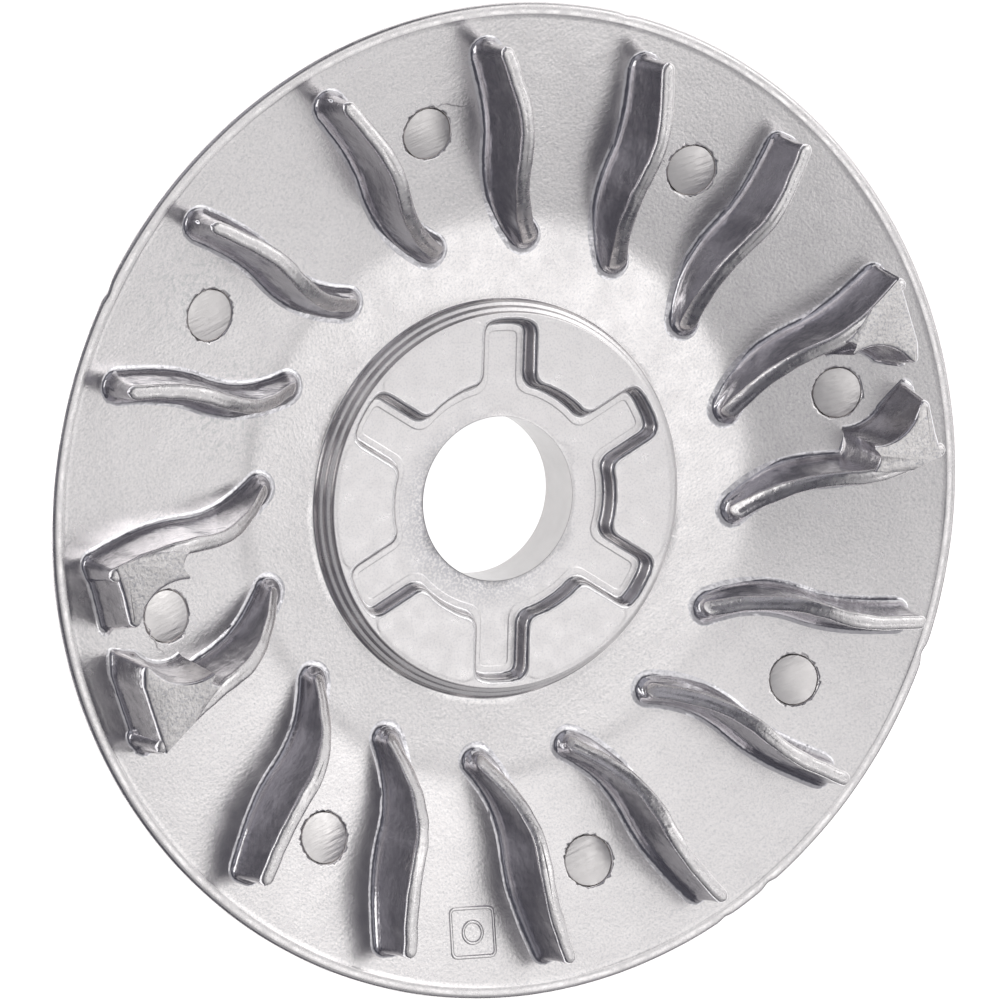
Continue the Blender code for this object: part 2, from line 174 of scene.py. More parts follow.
# Name, and bearing and radius in mm of each end, of the hair-thin ridges of flash
FLASHES = (
    ("flash_1", (345.5, 46.3), (352.5, 45.2)),
    ("flash_2", (22.0, 41.5), (27.0, 43.0)),
    ("flash_3", (256.0, 46.4), (249.5, 45.0)),
)


# ---------------------------------------------------------------- geometry helpers


def bearing_points(radius, degrees):
    angle = np.radians(degrees)
    return np.stack([radius * np.sin(angle), radius * np.cos(angle)], axis=-1)


def ripple(x, y):
    """Slow unevenness of the cast surface, about a hundredth of a millimetre."""
    u, v = x / MM, y / MM
    slow = np.sin(0.23 * u + 1.3 * np.sin(0.11 * v + 0.7)) * np.sin(0.19 * v - 0.6)
    fast = np.sin(0.61 * u - 0.35 * v + 2.1) * np.sin(0.47 * v + 0.29 * u)
    return (0.012 * slow + 0.005 * fast) * MM


def web_height(radius):
    """Bare web on the fan side: a flat-ish annulus that bends softly into a cone."""
    annulus = FLOOR_HEIGHT - 0.3 * MM + ANNULUS_SLOPE * (radius - HUB_RADIUS)
    bend = 0.7 * MM
    past = (radius - ANNULUS_RADIUS) / bend
    cone = (FAN_SLOPE - ANNULUS_SLOPE) * bend * np.logaddexp(0.0, past)
    return annulus + cone


def ground(x, y):
    """Web height under a point, with the casting's unevenness."""
    return web_height(np.hypot(x, y)) + ripple(x, y)


def belt_height(radius):
    return np.maximum(0.0, radius - HUB_BACK_RADIUS) * BELT_SLOPE


def loft(name, rings, closed=False, caps=True):
    """A mesh through equal-count closed rings; closed joins the last ring to the first."""
    count = len(rings[0])
    points = np.concatenate(rings)
    faces = []
    bands = len(rings) if closed else len(rings) - 1
    for band in range(bands):
        low = band * count
        high = ((band + 1) % len(rings)) * count
        for i in range(count):
            j = (i + 1) % count
            faces.append((low + i, low + j, high + j, high + i))
    if caps and not closed:
        faces.append(tuple(range(count - 1, -1, -1)))
        last = (len(rings) - 1) * count
        faces.append(tuple(range(last, last + count)))
    mesh = bpy.data.meshes.new(name)
    mesh.from_pydata(points.tolist(), [], faces)
    thing = bpy.data.objects.new(name, mesh)
    bpy.context.scene.collection.objects.link(thing)
    face_outward(mesh)
    mesh.shade_smooth()
    return thing


def face_outward(mesh):
    work = bmesh.new()
    work.from_mesh(mesh)
    bmesh.ops.recalc_face_normals(work, faces=work.faces)
    if work.calc_volume(signed=True) < 0:
        bmesh.ops.reverse_faces(work, faces=work.faces)
    work.to_mesh(mesh)
    work.free()


def turned(degrees):
    """A matrix that turns row vectors clockwise as seen from above."""
    turn = math.radians(degrees)
    return np.array([[math.cos(turn), -math.sin(turn)], [math.sin(turn), math.cos(turn)]])


def sharpen(thing, degrees):
    thing.data.set_sharp_from_angle(angle=math.radians(degrees))


def level(points, heights):
    return np.column_stack([points, np.broadcast_to(heights, len(points))])


def quarter_arc(steps):
    """Sines and cosines from 0 to 90 degrees."""
    angles = np.linspace(0.0, math.pi / 2, steps + 1)
    return list(zip(np.sin(angles), np.cos(angles)))


def rounded_corner(before, corner, after, radius, steps):
    """Points of an arc-like curve that cuts a corner, tangent to both sides."""
    to_before = before - corner
    to_after = after - corner
    cosine = to_before @ to_after / np.linalg.norm(to_before) / np.linalg.norm(to_after)
    reach = radius / math.tan(math.acos(max(-1.0, min(1.0, cosine))) / 2)
    reach = min(reach, 0.9 * np.linalg.norm(to_before), 0.9 * np.linalg.norm(to_after))
    start = corner + to_before / np.linalg.norm(to_before) * reach
    end = corner + to_after / np.linalg.norm(to_after) * reach
    share = np.linspace(0.0, 1.0, steps + 1)[:, None]
    return start * (1 - share) ** 2 + corner * 2 * share * (1 - share) + end * share**2


# ---------------------------------------------------------------- casting body


def star_half_arm(draft):
    """Outline from the middle of an arm's end to the middle of a valley."""
    half_width = ARM_HALF_WIDTH + draft
    reach = ARM_REACH + draft
    valley = VALLEY_RADIUS + draft
    end_turn = math.degrees(math.asin(half_width / reach))
    valley_turn = math.degrees(math.asin(half_width / valley))
    end_corner = bearing_points(reach, end_turn)
    valley_corner = bearing_points(valley, valley_turn)
    end_before = bearing_points(reach, 0.0)
    valley_after = bearing_points(valley, valley_turn + 9.0)
    corner_a = rounded_corner(end_before, end_corner, valley_corner, 1.1 * MM + 0.7 * draft, 9)
    corner_b = rounded_corner(end_corner, valley_corner, valley_after, 2.1 * MM - 0.5 * draft, 9)
    side = np.linspace(corner_a[-1], corner_b[0], 14)[1:-1]
    first_turn = math.degrees(math.atan2(*corner_a[0]))
    last_turn = math.degrees(math.atan2(*corner_b[-1]))
    end_arc = bearing_points(reach, np.linspace(0.0, first_turn, 9))[:-1]
    last_reach = np.hypot(*corner_b[-1])
    valley_share = np.linspace(0.0, 1.0, 20)[1:]
    valley_arc = bearing_points(
        last_reach + (valley - last_reach) * np.minimum(1.0, valley_share * 4),
        last_turn + (30.0 - last_turn) * valley_share,
    )
    return np.concatenate([end_arc, corner_a, side, corner_b, valley_arc])


def star_ring(draft):
    """The whole star outline, clockwise, starting at the middle of the +Y arm's end."""
    half = star_half_arm(draft)
    mirrored = half[::-1] * np.array([-1.0, 1.0])
    spin = turned(60.0)
    arm = np.concatenate([half[:-1], (mirrored @ spin)[:-1]])
    arms = []
    for _ in range(6):
        arms.append(arm)
        arm = arm @ spin
    return np.concatenate(arms)


def land_share(points):
    """1 on the raised lands and 0 on the lower strip around them."""
    x, y = points[:, 0], points[:, 1]
    radius = np.hypot(x, y)
    bearing = np.degrees(np.arctan2(x, y))
    from_arm = np.radians((bearing + 30.0) % 60.0 - 30.0)
    side = np.abs(radius * np.sin(from_arm)) - (ARM_HALF_WIDTH + POCKET_DRAFT)
    side = side + 0.9 * MM
    end = ARM_REACH + POCKET_DRAFT - radius
    corner = 2.4 * MM
    from_corner = np.hypot(np.maximum(0.0, corner - side), np.maximum(0.0, corner - end))
    inside = np.where((side < corner) & (end < corner), corner - from_corner, np.minimum(side, end))
    share = np.clip(inside / (0.16 * MM) + 0.5, 0.0, 1.0)
    return share * share * (3 - 2 * share)


def body_rings():
    """Rings from the bore's back edge over the fan side and round the rim to the back.

    Returns the rings and the name of the finish on each band between them.
    """
    rings, finishes = [], []

    def add(ring, finish):
        rings.append(ring)
        finishes.append(finish)

    star_base = star_ring(0.0)
    turns = np.degrees(np.arctan2(star_base[:, 0], star_base[:, 1])) % 360.0
    count = len(turns)
    even = np.arange(count) * 360.0 / count

    def circle(radius, height, evenness, finish):
        bearings = turns + (even - turns) * evenness
        add(level(bearing_points(radius, bearings), height), finish)

    add_bore(circle)
    floor_z = FLOOR_HEIGHT
    start = bearing_points(BORE_RADIUS + 0.12 * MM, turns)
    border = 0.06 * MM
    inner = star_ring(-0.74 * MM)
    for share in np.linspace(0.0, 1.0, 8):
        spot = start + (inner - start) * share
        add(level(spot, floor_z - border + 0.15 * ripple(spot[:, 0], spot[:, 1])), "hub")
    for draft, drop in ((-0.70, border), (-0.60, 0.0), (-0.55, 0.0)):
        add(level(star_ring(draft * MM), floor_z - drop), "hub")
    add_pocket_wall(add, floor_z)
    star_top = star_ring(POCKET_DRAFT)
    top_turns = np.degrees(np.arctan2(star_top[:, 0], star_top[:, 1])) % 360.0
    outer = bearing_points(HUB_TOP_OUTER, top_turns)
    for share in np.linspace(0.0, 1.0, 26)[1:]:
        spot = star_top + (outer - star_top) * share**0.8
        heights = strip_height() + land_share(spot) * (LAND_TOP - strip_height())
        add(level(spot, heights + 0.2 * ripple(spot[:, 0], spot[:, 1])), "hub")
    turns = top_turns
    add_hub_edge(circle)
    add_web(circle)
    add_rim_and_back(circle)
    return rings, finishes


def strip_height():
    return LAND_TOP - STRIP_DROP


def add_bore(circle):
    chamfer = 0.5 * MM
    circle(BORE_RADIUS + chamfer, 0.0, 0.0, "bore")
    circle(BORE_RADIUS, chamfer, 0.0, "bore")
    for share in (0.03, 0.3, 0.6, 0.97):
        circle(BORE_RADIUS, chamfer + (FLOOR_HEIGHT - chamfer) * share, 0.0, "bore")
    circle(BORE_RADIUS + 0.03 * MM, FLOOR_HEIGHT - 0.03 * MM, 0.0, "bore")


def add_pocket_wall(add, floor_z):
    """Fillet, drafted wall and rounded edge of the star pocket."""
    fillet, edge = 0.5 * MM, 0.62 * MM
    steps = 6
    for i in range(steps + 1):
        angle = WALL_TURN * i / steps
        ring = star_ring(fillet * math.sin(angle))
        add(level(ring, floor_z + fillet * (1 - math.cos(angle))), "wall")
    top = star_ring(POCKET_DRAFT)
    heights = strip_height() + land_share(top) * (LAND_TOP - strip_height())
    wall_start = fillet * math.sin(WALL_TURN)
    wall_end = POCKET_DRAFT - edge * math.sin(WALL_TURN)
    low = floor_z + fillet * WALL_DROP
    for share in (0.33, 0.66):
        draft = wall_start * (1 - share) + wall_end * share
        add(level(star_ring(draft), low + (heights - WALL_DROP * edge - low) * share), "wall")
    for i in range(steps, -1, -1):
        angle = WALL_TURN * i / steps
        ring = star_ring(POCKET_DRAFT - edge * math.sin(angle))
        add(level(ring, heights - edge * (1 - math.cos(angle))), "wall" if i else "hub")


def add_hub_edge(circle):
    """The hub's terraced wall and the fillet at its foot."""
    top = strip_height()
    circle(HUB_TOP_OUTER + 0.05 * MM, top, 0.15, "hub")
    for outward, drop in HUB_WALL:
        circle(HUB_RADIUS + outward * MM, top - drop * MM, 0.5, "hub")
    last_outward, last_drop = HUB_WALL[-1]
    foot = web_height(HUB_RADIUS + HUB_FOOT_OUTWARD * MM)
    low = top - last_drop * MM
    for share in np.linspace(0.0, 1.0, 8)[1:]:
        outward = last_outward + (HUB_FOOT_OUTWARD - last_outward) * share
        circle(HUB_RADIUS + outward * MM, foot + (low - foot) * (1 - share) ** 2.4, 0.8, "web")


def add_web(circle):
    for radius in np.concatenate(
        [
            np.linspace(WEB_START, 28 * MM, 8),
            np.linspace(28.4 * MM, 36 * MM, 26),
            np.linspace(36.4 * MM, RIM_RADIUS - 0.1 * MM, 46),
        ]
    ):
        circle(radius, web_height(radius), 1.0, "web")


def add_rim_and_back(circle):
    front = web_height(RIM_RADIUS) + RIM_STEP
    edge = 0.6 * MM
    circle(RIM_RADIUS, front - 0.04 * MM, 1.0, "rim")
    circle(RIM_RADIUS + 0.1 * MM, front, 1.0, "rim")
    for sine, cosine in quarter_arc(8):
        radius = OUTER_RADIUS - edge * (1 - sine)
        circle(radius, front - edge * (1 - cosine), 1.0, "rim")
    back_round = 0.5 * MM
    back = RIM_BACK
    for sine, cosine in quarter_arc(5):
        radius = OUTER_RADIUS - back_round * (1 - cosine)
        circle(radius, back + back_round * (1 - sine), 1.0, "rim")
    for radius in np.linspace(OUTER_RADIUS - 0.7 * MM, HUB_BACK_RADIUS + 0.2 * MM, 30):
        circle(radius, belt_height(radius), 1.0, "belt")
    circle(HUB_BACK_RADIUS, 0.0, 1.0, "belt")
    circle(HUB_BACK_RADIUS - 0.15 * MM, 0.0, 1.0, "back")
    circle((HUB_BACK_RADIUS + BORE_RADIUS) / 2, 0.0, 0.5, "back")


def wear_rim(ring, radius):
    """Small dents and unevenness of the outer edge; changes the ring in place."""
    on_edge = (radius > OUTER_RADIUS - 0.9 * MM) & (ring[:, 2] > RIM_BACK + 0.6 * MM)
    bearings = np.degrees(np.arctan2(ring[:, 0], ring[:, 1]))
    wave = np.sin(np.radians(19 * bearings)) * np.sin(np.radians(11 * bearings + 50))
    pull = 0.012 * MM * (1 + wave)
    for bearing, size, depth in RIM_NICKS:
        away = (bearings - bearing + 180.0) % 360.0 - 180.0
        along = np.radians(away) * OUTER_RADIUS / MM
        pull = pull + depth * MM * np.exp(-((along / size) ** 2))
    shrink = 1.0 - on_edge * pull / np.maximum(radius, MM)
    ring[:, 0] *= shrink
    ring[:, 1] *= shrink


def make_body(finishes):
    rings, names = body_rings()
    for ring in rings:
        radius = np.hypot(ring[:, 0], ring[:, 1])
        on_web = (radius > HUB_RADIUS + HUB_FOOT_OUTWARD * MM) & (radius < RIM_RADIUS)
        on_front = ring[:, 2] > web_height(radius) - 0.05 * MM
        ring[:, 2] += on_web * on_front * ripple(ring[:, 0], ring[:, 1])
        wear_rim(ring, radius)
    body = loft("cast_body", rings, closed=True)
    order = ["web", "hub", "wall", "rim", "bore", "belt", "back"]
    for name in order:
        body.data.materials.append(finishes[name])
    count = len(rings[0])
    indices = np.repeat([order.index(name) for name in names], count)
    body.data.polygons.foreach_set("material_index", indices)
    sharpen(body, 40)
    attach(body, "root")
    lands = [f"star_land_{number}" for number in range(1, 7)]
    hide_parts("web_disc", "rim_edge", "hub_boss", "hub_ring", *lands)
    return body


# ---------------------------------------------------------------- blades


def blade_line():
    """The blade's centreline from its inner to its outer end, and the length along it."""
    span = BLADE_OUTER_RADIUS - BLADE_INNER_RADIUS
    line = []
    for curve in (BLADE_OUTER_CURVE, BLADE_INNER_CURVE):
        a, b, c, d = [
            bearing_points(BLADE_INNER_RADIUS + share * span, bearing)
            for share, bearing in curve
        ]
        t = np.linspace(0.0, 1.0, 80)[:, None]
        line.append(
            a * (1 - t) ** 3 + 3 * b * t * (1 - t) ** 2 + 3 * c * t**2 * (1 - t) + d * t**3
        )
    line = np.concatenate([line[0], line[1][1:]])[::-1]
    line = line[np.hypot(line[:, 0], line[:, 1]) < BLADE_OUTER_RADIUS - 1.0 * MM]
    steps = np.hypot(*np.diff(line, axis=0).T)
    return line, np.concatenate([[0.0], np.cumsum(steps)])


BLADE_LINE, BLADE_LENGTHS = blade_line()
BLADE_LENGTH = BLADE_LENGTHS[-1]


def on_blade(along, across):
    """Points at a distance along the blade's centreline and across it."""
    inside = np.clip(along, 0.0, BLADE_LENGTH)
    x = np.interp(inside, BLADE_LENGTHS, BLADE_LINE[:, 0])
    y = np.interp(inside, BLADE_LENGTHS, BLADE_LINE[:, 1])
    ahead = np.clip(inside + 0.3 * MM, 0.0, BLADE_LENGTH)
    behind = np.clip(inside - 0.3 * MM, 0.0, BLADE_LENGTH)
    dx = np.interp(ahead, BLADE_LENGTHS, BLADE_LINE[:, 0])
    dx -= np.interp(behind, BLADE_LENGTHS, BLADE_LINE[:, 0])
    dy = np.interp(ahead, BLADE_LENGTHS, BLADE_LINE[:, 1])
    dy -= np.interp(behind, BLADE_LENGTHS, BLADE_LINE[:, 1])
    size = np.hypot(dx, dy)
    dx, dy = dx / size, dy / size
    past = along - inside
    return np.column_stack([x + dx * past + dy * across, y + dy * past - dx * across])


def crest_height(radius):
    span = BLADE_OUTER_RADIUS - BLADE_INNER_RADIUS
    ramp = np.maximum(0.0, 1 - (radius - BLADE_INNER_RADIUS) / span / BLADE_PLATEAU_SHARE)
    return BLADE_TOP - BLADE_CREST_DROP - BLADE_RAMP_DROP * ramp**2


def blade_loop(half, outer, inner, corner):
    """Distances along and across the blade for one loop around it."""
    corner = min(corner, half)
    start, end = half - inner, BLADE_LENGTH + outer - corner
    side = start + (end - start) * np.linspace(0.0, 1.0, SIDE_POINTS)
    along, across = [side], [np.full(SIDE_POINTS, half)]
    turn = np.radians(np.linspace(18.0, 90.0, 5))
    along.append(end + corner * np.sin(turn))
    across.append(half - corner * (1 - np.cos(turn)))
    turn = np.radians(np.linspace(0.0, 54.0, 4))
    along.append(end + corner * np.cos(turn))
    across.append(-(half - corner * (1 - np.sin(turn))))
    along.append(side[::-1])
    across.append(np.full(SIDE_POINTS, -half))
    turn = np.radians(np.linspace(0.0, 180.0, 13))[1:-1]
    along.append(start - half * np.sin(turn))
    across.append(-half * np.cos(turn))
    return np.concatenate(along), np.concatenate(across)


def blade_sections(end_corner):
    """Half width, outer reach, inner reach, corner, rise and rule for each loop.

    Rule 0 is a rise above the web, up to 1 is a share of the wall, and 2 is a drop
    below the crest.
    """
    loops = []
    for sine, cosine in quarter_arc(6)[:-1]:
        out = BLADE_FILLET * (1 - sine)
        outer, inner = 0.7 * MM + 0.6 * out, 0.55 * MM + out
        rise = BLADE_FILLET * (1 - cosine)
        loops.append((BLADE_BASE_HALF + out, outer, inner, end_corner + out, rise, 0.0))
    for share in (0.0, 0.16, 0.32, 0.5, 0.75, 1.0):
        hollow = (1 - share) ** 1.8
        half = BLADE_CREST_HALF + (BLADE_BASE_HALF - BLADE_CREST_HALF) * hollow
        outer, inner = (0.35 + 0.3 * hollow) * MM, 0.5 * MM * hollow
        loops.append((half, outer, inner, end_corner, BLADE_FILLET, share))
    for width in CREST_WIDTHS:
        sunk = BLADE_EDGE * (1 - (1 - width**CREST_POWER) ** (1 / CREST_POWER))
        half = BLADE_CREST_HALF * width
        inset = BLADE_CREST_HALF * (1 - width)
        loops.append((half, 0.35 * MM - inset, -inset, half, sunk, 2.0))
    return loops


def make_blade(number, finishes):
    spin = turned(360.0 / BLADE_COUNT * (number - 1))
    end_corner = (1.3 if number in ROUND_ENDED else 0.75) * MM
    rings = []
    for half, outer, inner, corner, rise, rule in blade_sections(end_corner):
        along, across = blade_loop(half, outer, inner, corner)
        flat = on_blade(along, across)
        radius = np.hypot(flat[:, 0], flat[:, 1])
        flat = flat @ spin
        flat += edge_wobble(flat, number, rule)
        foot = ground(flat[:, 0], flat[:, 1])
        top = crest_height(radius)
        room = np.clip((top - foot) / (2.6 * MM), 0.25, 1.0)
        if rule == 0.0 and rise < BLADE_FILLET:
            height = foot + rise * room - SUNK_FOOT
        elif rule <= 1.0:
            low = foot + BLADE_FILLET * room
            high = top - BLADE_EDGE * room
            height = low + (high - low) * rule
        else:
            height = top - rise * room
        rings.append(level(flat, np.minimum(height, BLADE_TOP)))
    blade = loft(f"blade_{number:02d}", rings)
    blade.data.materials.append(finishes["blade"])
    blade.data.materials.append(finishes["crest"])
    around = len(rings[0])
    crest_start = (len(rings) - len(CREST_WIDTHS) + 2) * around
    for face in blade.data.polygons:
        if face.index >= crest_start and face.index != (len(rings) - 1) * around:
            face.material_index = 1
    sharpen(blade, 85)
    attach(blade, "root")
    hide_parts(f"fan_blade_{number:02d}")
    return blade


def edge_wobble(flat, number, rule):
    """Small sideways unevenness of the walls, larger at the crest."""
    size = (0.03 + 0.09 * min(rule, 1.0)) * MM
    moved = []
    for x, y in flat / MM:
        here = Vector((0.55 * x, 0.55 * y, 3.1 * number))
        moved.append((noise.noise(here), noise.noise(here + Vector((0.0, 0.0, 57.0)))))
    return np.array(moved) * size * (1.0 if rule > 0.0 else 0.0)


# ---------------------------------------------------------------- holding lugs


def beside_blade(blade_number, low_radius, high_radius, side):
    """Points across a blade's crest: they start on its near half and drift to the far one."""
    spin = turned(360.0 / BLADE_COUNT * (blade_number - 1))
    along = np.linspace(0.0, BLADE_LENGTH + 1.5 * MM, 200)
    middle = np.hypot(*on_blade(along, np.zeros(200)).T)
    near = np.clip((low_radius + LUG_MERGE - middle) / LUG_MERGE, 0.0, 1.0)
    line = on_blade(along, side * (-0.72 + 1.25 * near) * MM)
    radius = np.hypot(line[:, 0], line[:, 1])
    wanted = np.linspace(low_radius, high_radius, 26)
    x = np.interp(wanted, radius, line[:, 0])
    y = np.interp(wanted, radius, line[:, 1])
    return np.column_stack([x, y]) @ spin


def notch_arc(radius, start, end):
    centre = bearing_points(PAD_CIRCLE + 1.0 * MM, LUG_PAD_BEARING)
    return centre + bearing_points(radius, np.linspace(start, end, 30))


def straight(start, end, count=8):
    return np.linspace(start, end, count + 2)[1:-1]


def hollow_side(start, end):
    """The lug's short inner side, bent a little into the lug."""
    middle = (start + end) / 2
    inward = middle / np.hypot(*middle) * 0.7 * MM
    share = np.linspace(0.0, 1.0, 12)[1:-1, None]
    return start * (1 - share) + end * share + inward * 4 * share * (1 - share)


def leading_loop(draft):
    """Loop round the lug on the clockwise side of blade 3."""
    lean = math.degrees(draft / LUG_OUTER)
    outer = LUG_OUTER + draft
    blade = beside_blade(3, PAD_CIRCLE - 0.9 * MM - draft, outer, 1)
    shoulder = bearing_points(outer - 0.7 * MM, 70.0 + lean)
    corner = bearing_points(outer - 1.5 * MM, 72.2 + lean)
    notch = notch_arc(LUG_NOTCH_RADIUS - draft, 46.0, -34.0)
    return np.concatenate(
        [
            blade,
            straight(blade[-1], shoulder, 14),
            rounded_corner(shoulder, corner, notch[0], 0.7 * MM, 8),
            notch,
            hollow_side(notch[-1], blade[0]),
        ]
    )


def trailing_loop(draft):
    """Loop round the lug on the anticlockwise side of blade 4."""
    lean = math.degrees(draft / LUG_OUTER)
    outer = LUG_OUTER + draft
    blade = beside_blade(4, PAD_CIRCLE - 0.7 * MM - draft, outer, -1)[::-1]
    notch = notch_arc(LUG_NOTCH_RADIUS - draft, 181.0, 118.0)
    corner = bearing_points(outer - 1.8 * MM, 76.4 - lean)
    shoulder = bearing_points(outer - 1.0 * MM, 77.4 - lean)
    heel = bearing_points(outer - 0.7 * MM, 81.4 - lean)
    return np.concatenate(
        [
            blade,
            hollow_side(blade[-1], notch[0]),
            notch,
            rounded_corner(notch[-1], corner, shoulder, 0.7 * MM, 8),
            rounded_corner(corner, shoulder, heel, 0.6 * MM, 6),
            rounded_corner(shoulder, heel, blade[0], 1.5 * MM, 6),
        ]
    )


def make_lug(number, loop, half_turn, finishes):
    flip = -1.0 if half_turn else 1.0
    fillet, edge = 0.65 * MM, 0.45 * MM
    top = BLADE_TOP - 0.01 * MM
    rings = []
    for sine, cosine in quarter_arc(6)[:-1]:
        ring = loop(LUG_DRAFT + fillet * (1 - sine)) * flip
        foot = ground(ring[:, 0], ring[:, 1]) - 0.001 * MM
        rings.append(level(ring, foot + fillet * (1 - cosine)))
    for share in (0.0, 0.33, 0.66, 1.0):
        ring = loop(LUG_DRAFT * (1 - share)) * flip
        low = ground(ring[:, 0], ring[:, 1]) + fillet
        rings.append(level(ring, low + (top - edge - low) * share))
    for sine, cosine in quarter_arc(4)[1:]:
        ring = loop(-edge * (1 - cosine)) * flip
        rings.append(level(ring, top - edge * (1 - sine)))
    lug = loft(f"lug_{number}", rings)
    lug.data.materials.append(finishes["lug_side"])
    lug.data.materials.append(finishes["lug_top"])
    for face in lug.data.polygons:
        if face.normal.z > 0.93 and face.center.z > top - 0.2 * MM:
            face.material_index = 1
    sharpen(lug, 50)
    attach(lug, "root")
    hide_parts(f"holding_lug_{number}")


# ---------------------------------------------------------------- ejector pads and mark


def web_spot(radius, degrees):
    """A frame on the web: its Z is the web's normal and its origin is on the surface."""
    flat = bearing_points(radius, degrees)
    outward = flat / radius
    normal = Vector((-FAN_SLOPE * outward[0], -FAN_SLOPE * outward[1], 1.0))
    turn = Vector((0.0, 0.0, 1.0)).rotation_difference(normal).to_matrix().to_4x4()
    height = float(ground(flat[0], flat[1]))
    return Matrix.Translation((flat[0], flat[1], height)) @ turn


def ragged_circle(radius, roughness, seed):
    """A circle whose edge wanders and has a few small bites out of it."""
    points = []
    for angle in np.linspace(0.0, 2 * math.pi, 200, endpoint=False):
        around = Vector((2.2 * math.cos(angle), 2.2 * math.sin(angle), 5.3 * seed))
        fine = Vector((21.0 * math.cos(angle), 21.0 * math.sin(angle), 1.7 * seed))
        bite = max(0.0, noise.noise(fine) - 0.3)
        size = radius + roughness * (noise.noise(around) + 0.5 * noise.noise(fine) + 1.6 * bite)
        points.append((size * math.sin(angle), size * math.cos(angle)))
    return np.array(points)


def place(thing, spot):
    thing.data.transform(spot)
    return thing


def make_pads(body, finishes):
    for number, node in enumerate(PAD_NODES, 1):
        low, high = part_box(node)
        middle = (low + high) / 2
        bearing = math.degrees(math.atan2(middle.x, middle.y))
        spot = web_spot(PAD_CIRCLE, bearing)
        hole = ragged_circle(PAD_RADIUS, 0.06 * MM, number)
        cutter = loft(f"pad_hole_{number}", [level(hole * 0.99, -0.7 * MM), level(hole, 0.9 * MM)])
        place(cutter, spot)
        boolean = body.modifiers.new("pad_hole", "BOOLEAN")
        boolean.object = cutter
        boolean.solver = "EXACT"
        apply_modifiers(body)
        bpy.data.objects.remove(cutter)
        make_pad(number, node, spot, finishes)


def make_pad(number, node, spot, finishes):
    sunk = (0.08 + 0.03 * math.sin(2.1 * number)) * MM
    edge = ragged_circle(PAD_RADIUS - PAD_GAP, 0.04 * MM, number + 20)
    rings = [level(edge * 0.98, -0.65 * MM), level(edge, -0.2 * MM - sunk)]
    for sine, cosine in quarter_arc(3)[1:]:
        rings.append(level(edge * (1 - 0.025 * (1 - cosine)), -sunk - 0.08 * MM * (1 - sine)))
    pad = place(loft(f"pad_{number}", rings), spot)
    pad.data.materials.append(finishes["pad"])
    sharpen(pad, 35)
    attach(pad, "root")
    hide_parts(node)


def apply_modifiers(thing):
    graph = bpy.context.evaluated_depsgraph_get()
    mesh = bpy.data.meshes.new_from_object(thing.evaluated_get(graph))
    thing.modifiers.clear()
    thing.data = mesh


def rounded_square(half, corner):
    corners = [np.array(c) for c in ((-half, half), (half, half), (half, -half), (-half, -half))]
    loop = []
    for i in range(4):
        loop.append(rounded_corner(corners[i - 1], corners[i], corners[(i + 1) % 4], corner, 8))
    return np.concatenate(loop)


def raised_line(name, outline, finish):
    """A low rounded bead on the web; outline(offset) gives its loop at a side offset."""
    middle = bearing_points(MARK_RADIUS, MARK_BEARING)
    half, height = 0.22 * MM, 0.13 * MM
    rings = []
    for angle in np.linspace(-90.0, 90.0, 9):
        ring = outline(half * math.sin(math.radians(angle))) + middle
        lift = height * math.cos(math.radians(angle)) - 0.02 * MM
        rings.append(level(ring, ground(ring[:, 0], ring[:, 1]) + lift))
    for offset in (0.6, -0.6):
        ring = outline(half * offset) + middle
        rings.append(level(ring, ground(ring[:, 0], ring[:, 1]) - 0.2 * MM))
    line = loft(name, rings, closed=True)
    line.data.materials.append(finish)
    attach(line, "root")
    return line


def make_mark(finishes):
    frame_line = raised_line(
        "foundry_frame",
        lambda offset: rounded_square(2.7 * MM + offset, 0.7 * MM + offset),
        finishes["web"],
    )
    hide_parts("foundry_mark")
    angles = np.linspace(0.0, 360.0, 48, endpoint=False)
    raised_line(
        "foundry_ring",
        lambda offset: bearing_points(1.2 * MM + offset, angles),
        finishes["web"],
    )


def make_flash(name, start, end, finish):
    """A hair-thin ridge of flash across the web, wandering between two places."""
    rings = []
    for share in np.linspace(0.0, 1.0, 40):
        bearing = start[0] + (end[0] - start[0]) * share
        radius = start[1] + (end[1] - start[1]) * share
        sway = 0.5 * noise.noise(Vector((7.0 * share, start[0], 2.0)))
        middle = bearing_points((radius + sway) * MM, bearing)
        size = (0.03 + 0.07 * math.sin(math.pi * share)) * MM
        along = bearing_points(1.0, bearing)
        ring = []
        for angle in np.linspace(0.0, 2 * math.pi, 8, endpoint=False):
            flat = middle + along * size * math.cos(angle)
            ring.append((*flat, ground(*flat) + size * math.sin(angle)))
        rings.append(np.array(ring))
    flash = loft(name, rings)
    flash.data.materials.append(finish)
    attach(flash, "root")


# ---------------------------------------------------------------- materials


